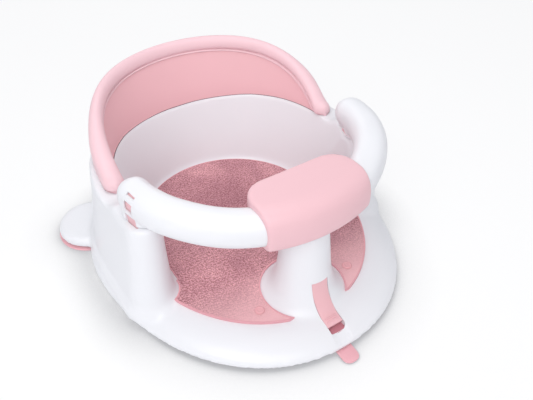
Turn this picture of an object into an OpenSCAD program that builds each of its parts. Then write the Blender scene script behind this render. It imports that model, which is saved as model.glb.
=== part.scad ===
// Baby bath seat. A moulded base with a horseshoe wall, a pommel and two ears stands on
// three suction cups. A padded backrest rises from the wall, and a guard bar with a soft
// pad lifts off the two pillars. Millimetres, +Z up, -Y to the child's front.

/* [Base] */
// From the wall's middle line to the base's edge, along X
base_rim = 37; // [33:1:43]
// From the pommel's axis to the front edge of the base
front_rim = 75; // [71:1:81]
// From the wall's middle line to the rear edge of the base
back_rim = 35; // [31:1:43]
// Height of the rim's lower edge above the floor
rim_lift = 4; // [3.6:0.2:6]
// Height of the rim's upright band
rim_band = 5; // [4:0.5:7]
// Width of the dome's falling edge, along X
dome_edge = 31; // [25:1:37]
// Height of the seat floor's top
floor_z = 24; // [23:0.5:27]
// Thickness of the moulding
shell_t = 3; // [2.4:0.2:3.4]

/* [Wall] */
// Radius of the seat's inside at the floor. The base, wall, bar and mat follow it
seat_r = 107; // [100:0.5:114]
// From the seat's inside at the floor to the middle line of the wall
wall_set = 26; // [24:0.5:29]
// How far the seat's inside leans out for each millimetre of height
seat_lean = 0.2; // [0.16:0.01:0.22]
// Half thickness of the wall at its top
wall_half_top = 18; // [17.5:0.1:19]
// Half thickness of the wall near its foot
wall_half_foot = 24.5; // [23.5:0.5:26]
// Height of the shoulders that carry the guard bar
shoulder_z = 124; // [116:0.5:124.5]
// Rounding of the shoulders' edges
shoulder_round = 6; // [4:0.5:7]
// How far in front of the seat axis the pillars' round ends are centred
pillar_fwd = 62; // [58:0.5:66]
// Height of the wall's top at its inner edge, behind the shoulders
wall_in_z = 110; // [108:0.5:112]
// Height of the wall's top at its outer edge, at the back
wall_out_z = 122; // [119:0.5:124]
// Height of the ledge under the backrest's two tongues
ledge_z = 115.5; // [109:0.5:118]
// Length of that ledge, from the shoulder backwards
ledge_len = 16; // [12:1:30]
// Length of the slope behind the ledge
ledge_rise = 40; // [32:1:60]

/* [Pommel] */
// From the front of the tube's middle line back to the pommel's axis
pommel_set = 13.4; // [11:0.2:16]
// Radius of the pommel's foot, where it meets the floor
pommel_foot_r = 44; // [40:0.5:47]
// Radius of the pommel's neck, above the foot's flare
pommel_neck_r = 27; // [25:0.5:29]
// Radius of the pommel's top
pommel_top_r = 21; // [19:0.5:23]
// Height of the foot's flare
pommel_flare = 28; // [24:1:34]
// Height of the pommel's top
pommel_z = 121; // [118:0.5:121.2]
// Radius of the spigot that locates the guard bar
spigot_r = 8; // [6:0.5:9]
// From the front of the tube's middle line back to the spigot's axis
spigot_set = 4; // [2:0.5:7]
// Height of the spigot above the pommel
spigot_h = 12; // [8:0.5:13]

/* [Guard bar] */
// How far the tube's middle line lies inside the wall's, at the bar's ends
bar_set = 3; // [1:0.5:5]
// How much further the bar's arch reaches than its side bends
bar_bow = 13; // [10:0.5:16]
// Distance of the bar's ends in front of the seat axis
bar_fwd = 41.4; // [38:0.2:44]
// Height of the middle of the tube
bar_z = 143; // [141:0.5:145]
// Radius of the tube
bar_r = 17.4; // [17:0.1:18.5]
// Middle line to the centres of the arch's two side bends
bend_x = 30; // [27:1:34]
// Half width of the feet under the bar's ends
foot_half = 16.6; // [16:0.1:17.2]
// Depth of the plug under each foot
plug_depth = 12; // [8:0.5:14]
// How far in front of the bar's ends the latches sit
latch_fwd = 18.6; // [16:0.2:21]

/* [Latches] */
// Width of a latch along the bar
latch_w = 14; // [11:0.5:15]
// Thickness of a latch
latch_t = 3.2; // [2.4:0.2:3.6]
// Depth of a latch's tail below the shoulder
latch_tail = 14; // [10:0.5:16]
// Swing of a latch when it is squeezed, in degrees
latch_swing = 5; // [3:0.5:6]

/* [Bar pad] */
// Half of the pad's width
pad_half = 58; // [50:1:64]
// From the front of the tube's middle line back to the pad's rear edge
pad_depth = 42.4; // [38:0.2:46]
// Padding in front of the tube
pad_front_t = 3.8; // [2.5:0.1:6]
// Padding above the tube
pad_top_t = 2.6; // [2:0.1:5]
// Radius of the pad's two rear corners, seen from above
pad_corner = 24; // [16:1:30]

/* [Backrest] */
// How far the backrest's outer face stands behind the wall's
back_set = 1; // [0:0.5:3]
// Height of the seam above the wall's inner edge, at the middle of the back
seam_rise = 64; // [50:1:74]
// Power of the seam's curve: higher climbs sooner
seam_power = 2.3; // [1.8:0.1:2.8]
// Height of the rolled rim above its seam
rim_roll = 11; // [8:0.5:14]
// Bulge of the rolled rim over the soft panel
rim_bulge = 1.4; // [0.6:0.2:2.4]
// Thickness of the soft inner panel
panel_t = 2.6; // [1.6:0.2:3.4]
// Shank radius of the backrest's screws
screw_r = 2; // [1.5:0.1:2.4]
// Length of those screws, from the head's face to the point
screw_len = 16; // [12:0.5:17]

/* [Mat] */
// Thickness of the seat mat
mat_t = 3; // [2:0.2:4]
// From the base's edge to the ellipse of the mat's front edge, along X
mat_rim = 37.3; // [35:0.1:42]
// From the base's front edge to that ellipse
mat_rim_front = 38; // [36:1:42]
// Middle of that ellipse, in front of the seat axis
mat_fwd = 20.2; // [18:0.2:22]
// Press studs: distance outside the pommel's foot
snap_out = 12.3; // [8:0.1:14]
// Press studs: distance in front of the pommel's axis
snap_set = 4.2; // [0:0.2:7]
// Radius of a press stud's head
snap_r = 5; // [4:0.2:6]

/* [Lever] */
// Width of the front lever
lever_w = 17.4; // [14:0.2:19]
// Thickness of the front lever
lever_t = 4.4; // [3.4:0.2:5]
// Height of the lever's axle
lever_z = 51; // [49:0.5:53]
// Radius of the axle
pin_r = 1.6; // [1.2:0.1:2.2]
// Swing of the lever when it is pulled out, in degrees
lever_swing = 35; // [20:1:40]

/* [Suction cups] */
// Radius of the ears over the rear cups
ear_r = 37; // [34:0.5:39]
// From the base's edge in to the ears' axes
ear_in = 25; // [22:1:30]
// From the base's rear edge forward to the ears' axes
ear_set = 75; // [70:1:80]
// Height of an ear's top
ear_z = 16; // [15:0.5:18]
// Radius of the rear cups
cup_r = 38; // [36:0.5:40]
// Radius of the front cup
cup_front_r = 32; // [28:0.5:34]
// From the pommel's axis to the front cup's
cup_set = 15; // [11:1:17]
// Radius of a cup's stem
stem_r = 6.5; // [5:0.25:7.5]
// How far the pull tab's tip stands in front of the base
tab_out = 8; // [5:0.5:12]
// Half width of the pull tab
tab_half = 11; // [8:0.5:13]

/* [Clearances] */
// Gap between pieces that part or turn
run_gap = 0.4; // [0.3:0.1:0.6]
// Gap between pieces that stay together
seat_gap = 0.2; // [0.1:0.05:0.3]
// Radial play of the axle in its bores
pin_gap = 0.05; // [0.02:0.01:0.1]

/* [Hidden] */
$fn = 96;
far = 400;

white = [0.93, 0.92, 0.95];
pink = [0.95, 0.74, 0.77];
deep_pink = [0.88, 0.66, 0.69];
rose = [0.74, 0.48, 0.51];

// The seat's radius carries the wall, the base and the bar
wall_r = seat_r + wall_set;
base_half_w = wall_r + base_rim;
back_reach = wall_r + back_rim;
dome_r = base_half_w - dome_edge;
back_r = wall_r + wall_half_top - back_set;
bar_half = wall_r - bar_set;
bar_side_r = bar_half - bend_x;
bar_reach = bar_side_r + bar_bow;

// Distances in front of the seat axis
bar_front = bar_fwd + bar_reach;
pommel_fwd = bar_front - pommel_set;
front_reach = pommel_fwd + front_rim;
tab_reach = front_reach + tab_out;
snap_fwd = pommel_fwd + snap_set;
mat_front = front_reach - mat_fwd - mat_rim_front;

// The model stands in the middle of its overall length
seat_y = (tab_reach - back_reach) / 2;
pommel_y = seat_y - pommel_fwd;
pillar_y = seat_y - pillar_fwd;
spigot_y = seat_y - bar_front + spigot_set;
bar_y = seat_y - bar_fwd;
cup_y = pommel_y - cup_set;
ear_x = base_half_w - ear_in;
ear_y = seat_y + back_reach - ear_set;
snap_x = pommel_foot_r + snap_out;
mat_half_w = base_half_w - mat_rim;
shoulder_y = seat_y - 4;
dome_top_z = rim_lift + rim_band;

// A circle's arc as points
function arc(c, r, a0, a1, n) =
    [for (i = [0:n]) c + r * [cos(a0 + (a1 - a0) * i / n), sin(a0 + (a1 - a0) * i / n)]];

// Side view of the dome, from the axis to the rim: w is its half width, top its height
function dome_profile(w, top, edge) =
    let (fall = top - edge, run = w - dome_r, r = (run * run + fall * fall) / (2 * fall))
    concat([[0, 0], [0, top]],
        arc([dome_r, top - r], r, 90, asin((r - fall) / r), 7), [[w, 0]]);

// Height of the dome above a point that lies a given distance in front of the seat axis
function dome_front_z(d) =
    let (fall = floor_z - dome_top_z, run = base_half_w - dome_r,
        r = (run * run + fall * fall) / (2 * fall),
        x = max(0, d * base_half_w / front_reach - dome_r))
    floor_z - r + sqrt(r * r - x * x);

module dome(w, top, edge, z0) {
    for (side = [0, 1])
        translate([0, seat_y, 0])
            scale([1, (side ? front_reach : back_reach) / base_half_w, 1])
                rotate([0, 0, side ? 180 : 0])
                    rotate_extrude(angle = 180)
                        intersection() {
                            polygon(dome_profile(w, top, edge));
                            translate([0, z0]) square([far, far]);
                        }
}

// Half thickness of the wall up to the height z_top: d thins it all round
function wall_half(d, z_top) =
    let (r = max(shoulder_round - d, 1), top = z_top - d, low = floor_z,
        half = wall_half_top - d)
    concat([[0, rim_lift + 8 - d], [wall_half_foot + 6 - d, rim_lift + 8 - d],
            [wall_half_foot + 2.5 - d, low - 4], [wall_half_foot - d, low + 4],
            [wall_half_foot - 1.8 - d, low + 18]],
        arc([half - r, top - r], r, 0, 90, 5), [[0, top]]);

// One half of the thickness swept along the horseshoe: side +1 is its outer half
module wall_sweep(d, side) {
    flip = side > 0 ? 0 : 1;
    translate([0, seat_y, 0])
        rotate_extrude(angle = 180)
            translate([wall_r, 0])
                mirror([flip, 0]) polygon(wall_half(d, wall_out_z + 2 * shoulder_round));
    for (m = [0, 1])
        mirror([m, 0, 0])
            translate([wall_r, seat_y, 0])
                rotate([90, 0, 0])
                    linear_extrude(height = pillar_fwd)
                        mirror([flip, 0]) polygon(wall_half(d, shoulder_z));
}

module wall_solid(d) {
    difference() {
        union() {
            wall_sweep(d, 1);
            wall_sweep(d, -1);
            for (m = [-1, 1])
                translate([m * wall_r, pillar_y, 0])
                    rotate([0, 0, 180])
                        rotate_extrude(angle = 180) polygon(wall_half(d, shoulder_z));
        }
        seat_cone(d, d > 0 ? -1 : floor_z);
        back_top(d);
    }
}

// The inside of the seat, a cone that opens upwards
module seat_cone(d, z0) {
    r0 = seat_r + d + (z0 - floor_z) * seat_lean;
    h = far / 2;
    translate([0, seat_y, z0]) cylinder(r1 = r0, r2 = r0 + h * seat_lean, h = h);
}

// Height of the wall's top at its outer edge: the ledge, the slope and the back
function top_line(y) =
    let (s = (y - shoulder_y - ledge_len) / ledge_rise)
    ledge_z + (wall_out_z - ledge_z) * min(1, max(0, s));

wall_in_r = seat_r + (wall_in_z - floor_z) * seat_lean;
top_slope = (wall_out_z - wall_in_z) / (back_r - wall_in_r);

// What is cut off above the wall behind the shoulders
module back_top(d) {
    translate([-far, 0, -d])
        rotate([90, 0, 90])
            linear_extrude(height = 2 * far)
                polygon([[shoulder_y, ledge_z], [shoulder_y + ledge_len, ledge_z],
                    [shoulder_y + ledge_len + ledge_rise, wall_out_z], [far, wall_out_z],
                    [far, far], [shoulder_y, far]]);
    translate([0, seat_y, -d])
        intersection() {
            rotate_extrude()
                polygon([[wall_in_r - 40, wall_in_z - 40 * top_slope],
                    [back_r + 40, wall_out_z + 40 * top_slope],
                    [back_r + 40, far], [wall_in_r - 40, far]]);
            translate([-far, shoulder_y - seat_y, 0]) cube([2 * far, far, 2 * far]);
        }
}

function pommel_profile(d) =
    let (top = pommel_z - d, n = 6, r = 4)
    concat([[0, d > 0 ? 0 : rim_lift + 8], [pommel_foot_r + 2 - d, d > 0 ? 0 : rim_lift + 8]],
        [for (i = [0:n]) let (a = i / n)
            [pommel_neck_r - d + (pommel_foot_r - pommel_neck_r) * pow(1 - a, 2.2),
             floor_z + (d > 0 ? -d : 0) + pommel_flare * a]],
        arc([pommel_top_r - d - r, top - r], r, 10, 90, 4), [[0, top]]);

module pommel(d) {
    translate([0, pommel_y, 0])
        rotate_extrude() polygon(pommel_profile(d));
}

module ear(d) {
    r = 6 - d;
    for (m = [-1, 1])
        translate([m * ear_x, ear_y, 0])
            rotate_extrude()
                polygon(concat([[0, rim_lift - d], [ear_r - d, rim_lift - d]],
                    arc([ear_r - d - r, ear_z - d - r], r, 0, 90, 4), [[0, ear_z - d]]));
}

// Puts its children at a bar end's latch: +X outwards, Z still from the floor
latch_turn = asin(latch_fwd / bar_side_r);
latch_x = bar_half - bar_side_r + bar_side_r * cos(latch_turn);
latch_y = bar_y - latch_fwd;
module at_latch(side) {
    mirror([side < 0 ? 1 : 0, 0, 0])
        translate([latch_x, latch_y, 0])
            rotate([0, 0, -latch_turn])
                children();
}

// A latch seen along the bar: the outer face stands just inside the foot's
latch_out = foot_half - 2.2;
latch_top = bar_z + 13;
// It turns on a round bead along its upper edge
pivot_in = latch_out - 6.4;
pivot_z = latch_top - 1.5;
pivot_r = 1.4;
function latch_profile() = [
    [latch_out, shoulder_z - latch_tail], [latch_out, bar_z + 4],
    [latch_out - 2.4, bar_z + 9.6], [pivot_in, latch_top],
    [pivot_in - 2.2, latch_top - 2], [pivot_in - 0.2, latch_top - 4],
    [latch_out - latch_t, bar_z + 3], [latch_out - latch_t, shoulder_z - latch_tail]];
tail_swing = (latch_top - 1 - shoulder_z + latch_tail) * sin(latch_swing) + 0.6;
function latch_room() = [
    [latch_out + run_gap, shoulder_z - 1], [latch_out + run_gap, bar_z + 4.2],
    [latch_out - 2, bar_z + 10.1], [pivot_in, latch_top + 0.7],
    [pivot_in - 3.2, latch_top - 2], [pivot_in - 3.2, latch_top - 6],
    [latch_out - latch_t - run_gap - tail_swing * 0.72, shoulder_z - 1]];

module latch_slab(points, w) {
    translate([0, w / 2, 0])
        rotate([90, 0, 0])
            linear_extrude(height = w) polygon(points);
}

// The two pockets in a shoulder's top: one for the plug, one for the latch's tail
plug_in = -8;
plug_out = 1;
module shoulder_pockets() {
    z_tail = shoulder_z - latch_tail - 2;
    for (side = [-1, 1])
        at_latch(side) {
            translate([plug_in - run_gap, -latch_w / 2 - run_gap, shoulder_z - plug_depth - 1])
                cube([plug_out - plug_in + 2 * run_gap, latch_w + 2 * run_gap, far / 4]);
            translate([latch_out - latch_t - tail_swing - 1, -latch_w / 2 - run_gap, z_tail])
                cube([latch_t + tail_swing + 1 + run_gap, latch_w + 2 * run_gap, far / 4]);
        }
}

module shoulder_blocks() {
    for (side = [-1, 1])
        at_latch(side)
            translate([-wall_half_foot, -latch_w / 2 - 4, shoulder_z - latch_tail - 5])
                cube([2 * wall_half_foot, latch_w + 8, latch_tail + 10]);
}

// Places along the lever's slot, seen from the side: [distance in front of the pommel's
// axis, height]
lever_y = pommel_y - pommel_neck_r + 6.5;
function lever_face(d) = [
    [pommel_neck_r - d, lever_z + 5],
    [pommel_neck_r + 1 - d, lever_z - 4],
    [pommel_neck_r + 4.5 - d, lever_z - 13 - d * 0.3],
    [pommel_neck_r + 11 - d * 0.8, lever_z - 21.5 - d * 0.7],
    [pommel_neck_r + 18 - d * 0.6, lever_z - 27 - d * 0.8],
    [pommel_neck_r + 26 - d * 0.3, floor_z - 3 - d]];

function flip_points(p) = [for (i = [len(p) - 1:-1:0]) p[i]];

module side_slab(points, w) {
    translate([-w / 2, pommel_y, 0])
        mirror([0, 1, 0])
            rotate([90, 0, 90])
                linear_extrude(height = w) polygon(points);
}

// The lever's slot reaches behind the axle and ends in a finger recess at its foot
slot_w = lever_w + 2 * run_gap;
slot_foot = pommel_neck_r + 33;
slot_back = pommel_neck_r - 13.5;
slot_top = lever_z + 9;
module lever_slot() {
    side_slab(concat(
        [[pommel_neck_r + 40, slot_top], [slot_back, slot_top], [slot_back, lever_z - 8]],
        [for (i = [2:4]) lever_face(lever_t + 2.2)[i]],
        [[slot_foot - 16, dome_top_z], [slot_foot - 4, dome_top_z - 1],
         [slot_foot, dome_front_z(pommel_fwd + slot_foot)],
         [slot_foot, floor_z + 10], [pommel_neck_r + 40, floor_z + 10]]), slot_w);
    channel_w = 11;
    side_slab(concat(
        [for (d = [slot_foot - 2:4:slot_foot + 20])
            [d, (d + pommel_fwd < front_reach ? dome_front_z(d + pommel_fwd) : dome_top_z) - 1.6]],
        [[slot_foot + 20, far], [slot_foot - 2, far]]), channel_w);
}

// The closed tub round that slot, inside the hollow moulding
module lever_tub() {
    wall = 2.6;
    side_slab([[pommel_neck_r + 2, slot_top + shell_t], [slot_back - shell_t, slot_top + shell_t],
        [slot_back - shell_t, lever_z - 10], [pommel_neck_r - 4, floor_z + 2],
        [slot_foot - 19, dome_top_z - 4], [slot_foot + 4, dome_top_z - 4],
        [slot_foot + 6, floor_z + 30]], slot_w + 2 * wall);
}

// Two rings and eight spokes under the seat's floor
module underside_ribs() {
    h = 9;
    rib_t = 2.4;
    inner_ring = 52;
    outer_ring = seat_r - 9;
    translate([0, seat_y, floor_z - shell_t + 0.5 - h]) {
        for (r = [inner_ring, outer_ring])
            difference() {
                cylinder(r = r + rib_t / 2, h = h);
                translate([0, 0, -1]) cylinder(r = r - rib_t / 2, h = h + 2);
            }
        for (a = [0:45:315])
            rotate([0, 0, a])
                translate([inner_ring, -rib_t / 2, 0])
                    cube([outer_ring - inner_ring, rib_t, h]);
    }
}

// Sockets that hold the stems of the three cups
module cup_bosses() {
    boss = stem_r + 4;
    ear_boss = 4;
    for (m = [-1, 1])
        translate([m * ear_x, ear_y, ear_z - shell_t - ear_boss])
            difference() {
                cylinder(r = boss, h = ear_boss + 0.5);
                translate([0, 0, -1]) cylinder(r = stem_r + seat_gap, h = ear_boss + 1);
            }
    translate([0, cup_y, floor_z - 14])
        difference() {
            union() {
                cylinder(r = boss, h = 22);
                for (a = [0, 60, 120])
                    rotate([0, 0, a]) translate([-far / 16, -1.25, 0]) cube([far / 8, 2.5, 16]);
            }
            translate([0, 0, -1]) cylinder(r = stem_r + seat_gap, h = 11);
        }
}

screw_angles = [25, 65, 115, 155];
screw_ring = wall_r + 4;
screw_head = 2 * screw_r;
module body_shell() {
    color(white)
        difference() {
            union() {
                difference() {
                    union() {
                        dome(base_half_w, floor_z, dome_top_z, rim_lift);
                        wall_solid(0);
                        pommel(0);
                        ear(0);
                    }
                    difference() {
                        union() {
                            dome(base_half_w - shell_t, floor_z - shell_t,
                                dome_top_z - shell_t, 0);
                            wall_solid(shell_t);
                            pommel(shell_t);
                            ear(shell_t);
                        }
                        shoulder_blocks();
                        lever_tub();
                    }
                }
                underside_ribs();
                cup_bosses();
                translate([0, spigot_y, pommel_z - 2])
                    cylinder(r = spigot_r, h = spigot_h + 2);
            }
            shoulder_pockets();
            lever_slot();
            translate([0, lever_y, lever_z])
                rotate([0, 90, 0])
                    cylinder(r = pin_r + pin_gap, h = slot_w + 4, center = true);
            for (a = screw_angles)
                translate([0, seat_y, 0])
                    rotate([0, 0, a])
                        translate([screw_ring, 0, wall_in_z - 20])
                            cylinder(r = screw_r + run_gap, h = 40);
            for (m = [-1, 1])
                translate([m * snap_x, seat_y - snap_fwd, 0])
                    cylinder(r = snap_r / 2 + seat_gap, h = floor_z + 1);
        }
}

// Outline of the mat: the seat's round inside and, in front of the pillars, an ellipse
module mat_outline() {
    foot = wall_half_foot + 1.6;
    difference() {
        union() {
            translate([0, seat_y]) circle(r = seat_r - run_gap);
            intersection() {
                translate([0, seat_y - mat_fwd])
                    polygon([for (a = [0:4:356]) [mat_half_w * cos(a), mat_front * sin(a)]]);
                translate([-far / 2, pillar_y - far]) square([far, far]);
            }
            translate([-seat_r + run_gap, pillar_y - 5])
                square([2 * (seat_r - run_gap), pillar_fwd + 5]);
        }
        for (m = [-1, 1])
            translate([m * wall_r, pillar_y]) circle(r = foot);
        for (m = [-1, 1])
            translate([m * (wall_r + 2), pillar_y - foot / 3]) square([foot, foot], center = true);
        translate([0, pommel_y]) circle(r = pommel_foot_r + run_gap);
    }
}

module seat_mat() {
    color(rose)
        difference() {
            translate([0, 0, floor_z]) linear_extrude(height = mat_t) mat_outline();
            for (m = [-1, 1])
                translate([m * snap_x, seat_y - snap_fwd, floor_z - 1])
                    cylinder(r = snap_r / 2 + seat_gap, h = mat_t + 2);
        }
}

// Press stud: a domed head, a shank through the mat and the floor, and a barbed end
module mat_snap(side) {
    head = 1.8;
    shank = snap_r / 2;
    z = floor_z + mat_t;
    color(pink)
        translate([side * snap_x, seat_y - snap_fwd, 0])
            rotate_extrude()
                polygon(concat([[0, floor_z - shell_t - 5], [shank - 0.8, floor_z - shell_t - 5],
                    [shank, floor_z - shell_t - 1], [shank, z], [snap_r, z], [snap_r, z + 0.6]],
                    [[snap_r - 1, z + head - 0.3], [snap_r - 2.2, z + head], [0, z + head]]));
}

// Backrest: a section for every few degrees of its sweep. turn is counted from +X
back_end = -1.2;
back_steps = 44;
function back_turn(i) = back_end + (180 - 2 * back_end) * i / back_steps;
function seam_z(turn) =
    wall_in_z + 1 + (seam_rise - 1) * (1 - pow(1 - max(0, sin(turn)), seam_power));
function in_r(z) = seat_r + (z - floor_z) * seat_lean;
function low_z(turn) = top_line(seat_y + back_r * sin(turn)) + seat_gap;
function low_break(turn) =
    min(back_r, wall_in_r + max(0, low_z(turn) - seat_gap - wall_in_z) / top_slope);
function slope_z(r) = wall_in_z + (r - wall_in_r) * top_slope + seat_gap;
function at_turn(turn, r, z) = [r * cos(turn), seat_y + r * sin(turn), z];

// The sweep's two ends close in a round nose
function nose(turn) =
    let (u = max(0, min(1, (min(turn, 180 - turn) - back_end) / 5))) sqrt(1 - pow(1 - u, 2));

// k squeezes a section towards its middle. Its foot stays on the wall's slope and ledge
function back_section(turn) =
    let (zs = seam_z(turn), zo = low_z(turn), back = wall_in_r + panel_t + seat_gap,
        r0 = in_r(zs) - rim_bulge, mid = (r0 + back_r) / 2, half = (back_r - r0) / 2,
        n = nose(turn), k = 0.45 + 0.55 * n, low_in = mid + (back - mid) * k,
        low_mid = mid + (max(low_break(turn), back + 0.5) - mid) * k,
        zi = min(zo, slope_z(low_in)), zm = max(zs, zi + 3),
        pts = concat([[in_r(zm - 1) + panel_t + seat_gap, zm - 1], [r0, zm]],
            [for (a = [162:-18:18])
                [mid + half * cos(a), zm + rim_roll * (0.35 + 0.65 * n) * sin(a)]],
            [[back_r, zm], [back_r, zo]]))
    concat([at_turn(turn, low_in, zi)],
        [for (p = pts) at_turn(turn, mid + (p[0] - mid) * k, p[1])],
        [at_turn(turn, low_mid, min(zo, slope_z(low_mid)))]);

// A skin over rings of equally many points, closed by a flat cap at each end
module loft(rings) {
    n = len(rings[0]);
    m = len(rings);
    polyhedron(
        points = [for (ring = rings) for (p = ring) p],
        faces = concat(
            [for (i = [0:m - 2]) for (j = [0:n - 1])
                [i * n + j, (i + 1) * n + j, i * n + (j + 1) % n]],
            [for (i = [0:m - 2]) for (j = [0:n - 1])
                [i * n + (j + 1) % n, (i + 1) * n + j, (i + 1) * n + (j + 1) % n]],
            [[for (j = [0:n - 1]) j]],
            [[for (j = [n - 1:-1:0]) (m - 1) * n + j]]),
        convexity = 6);
}

module back_screw_bores(r) {
    for (a = screw_angles)
        translate([0, seat_y, 0])
            rotate([0, 0, a])
                translate([screw_ring, 0, wall_in_z - 8])
                    cylinder(r = r, h = 26);
}

module backrest() {
    color(pink)
        difference() {
            loft([for (i = [0:back_steps]) back_section(back_turn(i))]);
            back_screw_bores(screw_r + seat_gap / 2);
        }
}

// Soft panel on the backrest's inside, from the wall's edge up to the seam
function panel_section(turn) =
    let (zs = max(seam_z(turn) - 1.4, wall_in_z + 1.5), z0 = wall_in_z + seat_gap)
    [for (p = [[in_r(z0), z0], [in_r(zs) + 0.3, zs - 0.6], [in_r(zs) + 1, zs],
        [in_r(zs) + panel_t, zs], [wall_in_r + panel_t, slope_z(wall_in_r + panel_t)]])
        at_turn(turn, p[0], p[1])];
panel_end = 4;
module backrest_panel() {
    color(deep_pink)
        loft([for (i = [0:back_steps])
            panel_section(panel_end + (180 - 2 * panel_end) * i / back_steps)]);
}

// Pan-headed screws, driven up through the wall's top from inside the hollow wall
module backrest_screws() {
    skin = wall_in_z + (screw_ring - screw_head - wall_in_r) * top_slope - shell_t;
    color([0.72, 0.73, 0.75])
        for (a = screw_angles)
            translate([0, seat_y, 0])
                rotate([0, 0, a])
                    translate([screw_ring, 0, skin - 1.4 - seat_gap])
                        rotate_extrude()
                            polygon([[0, 0], [screw_head, 0], [screw_head, 1.4],
                                [screw_r, 2], [screw_r, screw_len - screw_r], [0, screw_len]]);
}

// The bar's arch in plan: two side bends of one radius and a front bend that is tangent
arch_back = (bend_x * bend_x - bar_bow * bar_bow) / (2 * bar_bow);
front_r = bar_reach + arch_back;
side_turn = atan2(arch_back, bend_x);
// The front bend is a hair thinner, so that the bends meet in a clean edge
bend_step = 0.05;

module arch(r) {
    for (m = [0, 1])
        mirror([m, 0, 0])
            translate([bend_x, bar_y, bar_z])
                rotate([0, 0, -side_turn])
                    rotate_extrude(angle = side_turn)
                        translate([bar_side_r, 0]) circle(r = r, $fn = 48);
    translate([0, bar_y + arch_back, bar_z])
        rotate([0, 0, side_turn - 180])
            rotate_extrude(angle = 180 - 2 * side_turn)
                translate([front_r, 0]) circle(r = r - bend_step, $fn = 48);
}

module guard_bar() {
    foot_z = shoulder_z + run_gap;
    foot_front = 2;
    foot_rear = 11;
    tab_top = bar_z - 7.5;
    color(white)
        difference() {
            union() {
                arch(bar_r);
                for (m = [-1, 1])
                    translate([m * bar_half, bar_y, bar_z])
                        rotate([-90, 0, 0])
                            rotate_extrude()
                                intersection() {
                                    circle(r = bar_r, $fn = 48);
                                    square(far);
                                }
                for (side = [-1, 1])
                    at_latch(side) {
                        for (y = [-foot_front, foot_rear])
                            translate([0, y, foot_z]) cylinder(r = foot_half, h = bar_z - foot_z);
                        translate([-foot_half, -foot_front, foot_z])
                            cube([2 * foot_half, foot_front + foot_rear, bar_z - foot_z]);
                        translate([plug_in, -latch_w / 2, shoulder_z - plug_depth])
                            cube([plug_out - plug_in, latch_w, plug_depth + 2]);
                    }
            }
            for (side = [-1, 1])
                at_latch(side) {
                    latch_slab(latch_room(), latch_w + 2 * run_gap);
                    for (z = [[bar_z - 2.5, bar_z + 8], [bar_z + 11.6, bar_z + 14.4]])
                        translate([pivot_in - 1, -latch_w / 2 + 1, z[0]])
                            cube([20, latch_w - 2, z[1] - z[0]]);
                    translate([latch_out - 1, -latch_w / 2 - run_gap, foot_z - 1])
                        cube([20, latch_w + 2 * run_gap, tab_top - foot_z + 1]);
                }
            translate([0, spigot_y, bar_z - bar_r - 3])
                cylinder(r = spigot_r + run_gap, h = pommel_z + spigot_h + 0.8 - bar_z + bar_r + 3);
        }
}

// Soft pad round the middle of the bar
module bar_pad() {
    bottom = pommel_z + 0.6;
    top = bar_z + bar_r + pad_top_t;
    outer = front_r + bar_r + pad_front_t;
    round = 7;
    inside = 60;
    rear = seat_y - bar_front + pad_depth;
    section = concat([[inside, bottom], [outer - round, bottom]],
        arc([outer - round, bottom + round], round, -72, 0, 4),
        arc([outer - 1.6 * round, top - 1.6 * round], 1.5 * round, 0, 90, 6), [[inside, top]]);
    color(pink)
        difference() {
            intersection() {
                translate([0, bar_y + arch_back, 0])
                    rotate([0, 0, 225]) rotate_extrude(angle = 90) polygon(section);
                union() {
                    for (m = [-1, 1])
                        translate([m * (pad_half - pad_corner), rear - pad_corner, 0])
                            cylinder(r = pad_corner, h = far);
                    translate([-pad_half, rear - pad_corner - far, 0])
                        cube([2 * pad_half, far, far]);
                    translate([-pad_half + pad_corner, rear - pad_corner, 0])
                        cube([2 * (pad_half - pad_corner), pad_corner, far]);
                }
            }
            arch(bar_r + seat_gap);
            translate([0, spigot_y, bottom - 1])
                cylinder(r = spigot_r + run_gap, h = 20);
        }
}

module latch(side) {
    color(pink)
        at_latch(side) {
            latch_slab(latch_profile(), latch_w);
            translate([latch_out - 1, 0, bar_z + 2.5])
                rotate([0, 90, 0]) cylinder(r = 4, h = 1.8);
            translate([pivot_in, 0, pivot_z])
                rotate([90, 0, 0]) cylinder(r = pivot_r, h = latch_w, center = true);
        }
}

module front_lever() {
    outer = lever_face(0.4);
    inner = lever_face(lever_t);
    grip_out = 19;
    grip_drop = 27.4;
    grip_step = 4;
    color(pink)
        difference() {
            union() {
                side_slab(concat(outer, flip_points(inner)), lever_w);
                translate([0, lever_y, lever_z])
                    rotate([0, 90, 0]) cylinder(r = 4.4, h = lever_w, center = true);
                for (t = [0, 1])
                    translate([0, pommel_y - pommel_neck_r - grip_out - grip_step * t,
                        lever_z - grip_drop - 1.7 * t])
                        rotate([0, 90, 0]) cylinder(r = 0.9, h = lever_w - 4, center = true);
            }
            translate([0, lever_y, lever_z])
                rotate([0, 90, 0])
                    cylinder(r = pin_r + pin_gap, h = lever_w + 2, center = true);
        }
}

module lever_pin() {
    color([0.72, 0.73, 0.75])
        translate([0, lever_y, lever_z])
            rotate([0, 90, 0]) cylinder(r = pin_r, h = slot_w + 3.6, center = true);
}

// Suction cup: a thin skirt, hollow below, and a stem that is pressed into its boss
module cup(r, stem_top) {
    skirt = 1.6;
    rise = 6;
    rotate_extrude()
        polygon([[0, rise], [r * 0.3, rise - 0.6], [r * 0.62, rise - 2.6], [r * 0.86, 0.9],
            [r - 2.5, 0], [r, 0], [r, skirt], [r * 0.86, skirt + 1], [r * 0.6, rise - 0.6],
            [r * 0.34, rise + 1.4], [stem_r + 1.2, rise + 1.8], [stem_r, rise + 2.6],
            [stem_r, stem_top - 1], [stem_r - 1, stem_top], [0, stem_top]]);
}

module suction_cup_rear(side) {
    color(pink)
        translate([side * ear_x, ear_y, 0]) cup(cup_r, ear_z - shell_t - 0.3);
}

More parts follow.
